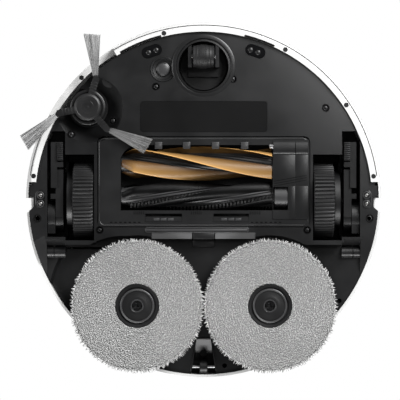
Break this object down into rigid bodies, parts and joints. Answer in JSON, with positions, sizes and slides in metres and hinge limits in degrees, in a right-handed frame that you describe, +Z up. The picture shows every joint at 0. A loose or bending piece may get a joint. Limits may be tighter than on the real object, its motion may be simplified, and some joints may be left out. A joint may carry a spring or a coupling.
{
  "type": "robot vacuum",
  "caption": "Low round floor robot that vacuums with twin rollers and a side brush and mops with two spinning pads; wheels, climbing legs and lidar turret move.",
  "frame": {"origin": "on the floor under the middle of the round body", "axes": "+Z up, the front with the bumper faces -Y, +X is the robot's left"},
  "size_m": [0.3554, 0.35, 0.089],
  "materials": {
    "white_shell": "satin gloss white",
    "black_chassis": "fine texture, satin",
    "dark_plastic": "matte",
    "grey_plastic": "satin",
    "window": "gloss, infrared window",
    "rubber": "matte",
    "tyre": "ribbed, matte",
    "gold_rubber": "satin bronze elastomer",
    "bristle": "nylon filaments",
    "microfibre": "looped pile",
    "steel": "plain",
    "contact": "polished",
    "screw": "black oxide",
    "label": "matte film",
    "board": "solder mask",
    "battery": "shrink wrap",
    "clear_bin": "smoked translucent plastic",
    "filter": "pleated paper",
    "tank": "translucent"
  },
  "bodies": {
    "chassis": {"chassis_base": "black_chassis", "top_shell": "white_shell", "caster_socket": "dark_plastic", "steel_pins": "steel", "brush_housing": "dark_plastic", "scraper_strip": "rubber", "leg_gearboxes": "dark_plastic", "cliff_sensors": "window", "carpet_sensor": "black_chassis", "label_plate": "label", "charging_contacts": "contact", "screws": "screw", "battery": "battery", "circuit_board": "board", "suction_fan": "dark_plastic", "water_tank": "tank"},
    "lid": {"top_lid": "white_shell"},
    "bin": {"dust_bin": "clear_bin", "bin_filter": "filter"},
    "bumper": {"bumper": "white_shell", "bumper_window": "window", "bumper_screws": "screw"},
    "button": {"power_button": "grey_plastic"},
    "caster": {"caster_fork": "dark_plastic", "caster_axle": "steel"},
    "caster_roll": {"caster_wheel": "rubber"},
    "rear_roll": {"rear_wheel": "dark_plastic"},
    "brush_arm": {"side_brush_arm": "dark_plastic"},
    "side_brush": {"side_brush_hub": "rubber", "side_brush_bristles": "bristle"},
    "front_roller": {"front_roller_core": "dark_plastic", "front_roller_fins": "gold_rubber", "front_roller_gear": "grey_plastic"},
    "rear_roller": {"rear_roller_core": "grey_plastic", "rear_roller_fins": "rubber", "rear_roller_gear": "grey_plastic"},
    "guard": {"roller_guard": "black_chassis", "comb_teeth": "grey_plastic"},
    "latches": {"guard_latches": "dark_plastic"},
    "left_suspension": {"left_gearbox": "dark_plastic", "left_spring": "steel"},
    "right_suspension": {"right_gearbox": "dark_plastic", "right_spring": "steel"},
    "left_wheel": {"left_tire": "tyre", "left_rim": "dark_plastic"},
    "right_wheel": {"right_tire": "tyre", "right_rim": "dark_plastic"},
    "left_leg": {"left_leg_arm": "dark_plastic", "left_leg_pad": "rubber"},
    "right_leg": {"right_leg_arm": "dark_plastic", "right_leg_pad": "rubber"},
    "left_mop_lifter": {"left_mop_drive": "dark_plastic"},
    "left_mop": {"left_mop_plate": "grey_plastic", "left_mop_pad": "microfibre"},
    "mop_arm": {"right_mop_arm": "dark_plastic"},
    "right_mop_lifter": {"right_mop_drive": "dark_plastic"},
    "right_mop": {"right_mop_plate": "grey_plastic", "right_mop_pad": "microfibre"},
    "turret": {"lidar_turret": "dark_plastic"},
    "turret_rotor": {"lidar_rotor": "window"}
  },
  "joints": [
    {"name": "lid_lift", "type": "slide", "parent": "chassis", "child": "lid", "axis": [0, 0, 1], "range_m": [0, 0.08]},
    {"name": "bin_lift", "type": "slide", "parent": "chassis", "child": "bin", "axis": [0, 0, 1], "range_m": [0, 0.044]},
    {"name": "bumper_press", "type": "slide", "parent": "chassis", "child": "bumper", "axis": [0, 1, 0], "range_m": [0, 0.003], "stiffness_N_per_m": 600, "springref_m": -0.003},
    {"name": "power_button_press", "type": "slide", "parent": "chassis", "child": "button", "axis": [0, 0, -1], "range_m": [0, 0.0008], "stiffness_N_per_m": 900, "springref_m": -0.0008},
    {"name": "caster_swivel", "type": "hinge", "parent": "chassis", "child": "caster", "pos_m": [0, -0.1316, 0.03], "axis": [0, 0, 1], "continuous": true},
    {"name": "caster_wheel_spin", "type": "hinge", "parent": "caster", "child": "caster_roll", "pos_m": [0, -0.1412, 0.012], "axis": [1, 0, 0], "continuous": true},
    {"name": "rear_wheel_spin", "type": "hinge", "parent": "chassis", "child": "rear_roll", "pos_m": [0, 0.165, 0.026], "axis": [1, 0, 0], "continuous": true},
    {"name": "side_brush_swing", "type": "hinge", "parent": "chassis", "child": "brush_arm", "pos_m": [-0.0929, -0.1177, 0.031], "axis": [0, 0, 1], "range_deg": [0, 20]},
    {"name": "side_brush_spin", "type": "hinge", "parent": "brush_arm", "child": "side_brush", "pos_m": [-0.1139, -0.0912, 0.01], "axis": [0, 0, 1], "continuous": true},
    {"name": "front_roller_spin", "type": "hinge", "parent": "chassis", "child": "front_roller", "pos_m": [0, -0.036, 0.02], "axis": [1, 0, 0], "continuous": true},
    {"name": "rear_roller_spin", "type": "hinge", "parent": "chassis", "child": "rear_roller", "pos_m": [0, -0.0034, 0.02], "axis": [1, 0, 0], "continuous": true},
    {"name": "guard_open", "type": "hinge", "parent": "chassis", "child": "guard", "pos_m": [0, -0.0605, 0.011], "axis": [-1, 0, 0], "range_deg": [0, 35]},
    {"name": "guard_latch_slide", "type": "slide", "parent": "guard", "child": "latches", "axis": [0, -1, 0], "range_m": [0, 0.0026], "stiffness_N_per_m": 300, "springref_m": -0.003},
    {"name": "left_suspension", "type": "hinge", "parent": "chassis", "child": "left_suspension", "pos_m": [0.132, -0.03, 0.06], "axis": [1, 0, 0], "range_deg": [-12, 0], "stiffness_Nm_per_rad": 1, "springref_deg": -34.38, "deforming": ["left_spring"]},
    {"name": "left_wheel_spin", "type": "hinge", "parent": "left_suspension", "child": "left_wheel", "pos_m": [0.1186, 0, 0.0375], "axis": [1, 0, 0], "continuous": true},
    {"name": "left_leg_swing", "type": "hinge", "parent": "chassis", "child": "left_leg", "pos_m": [0.142, 0.017, 0.033], "axis": [1, 0, 0], "range_deg": [0, 75]},
    {"name": "right_suspension", "type": "hinge", "parent": "chassis", "child": "right_suspension", "pos_m": [-0.132, -0.03, 0.06], "axis": [1, 0, 0], "range_deg": [-12, 0], "stiffness_Nm_per_rad": 1, "springref_deg": -34.38, "deforming": ["right_spring"]},
    {"name": "right_wheel_spin", "type": "hinge", "parent": "right_suspension", "child": "right_wheel", "pos_m": [-0.1186, 0, 0.0375], "axis": [1, 0, 0], "continuous": true},
    {"name": "right_leg_swing", "type": "hinge", "parent": "chassis", "child": "right_leg", "pos_m": [-0.142, 0.017, 0.033], "axis": [1, 0, 0], "range_deg": [0, 75]},
    {"name": "left_mop_lift", "type": "slide", "parent": "chassis", "child": "left_mop_lifter", "axis": [0, 0, 1], "range_m": [0, 0.01]},
    {"name": "left_mop_spin", "type": "hinge", "parent": "left_mop_lifter", "child": "left_mop", "pos_m": [0.0651, 0.1037, 0.008], "axis": [0, 0, 1], "continuous": true},
    {"name": "right_mop_swing", "type": "hinge", "parent": "chassis", "child": "mop_arm", "pos_m": [-0.0651, 0.0537, 0.039], "axis": [0, 0, 1], "range_deg": [0, 16]},
    {"name": "right_mop_lift", "type": "slide", "parent": "mop_arm", "child": "right_mop_lifter", "axis": [0, 0, 1], "range_m": [0, 0.01]},
    {"name": "right_mop_spin", "type": "hinge", "parent": "right_mop_lifter", "child": "right_mop", "pos_m": [-0.0651, 0.1037, 0.008], "axis": [0, 0, 1], "continuous": true},
    {"name": "turret_lift", "type": "slide", "parent": "chassis", "child": "turret", "axis": [0, 0, 1], "range_m": [0, 0.022]},
    {"name": "turret_spin", "type": "hinge", "parent": "turret", "child": "turret_rotor", "pos_m": [0, 0.062, 0.07], "axis": [0, 0, 1], "continuous": true}
  ],
  "couplings": [
    {"joint": "rear_roller_spin", "follows": "front_roller_spin", "ratio": -1},
    {"joint": "right_mop_spin", "follows": "left_mop_spin", "ratio": -1},
    {"joint": "bin_lift", "follows": "lid_lift", "ratio": 0.55}
  ]
}
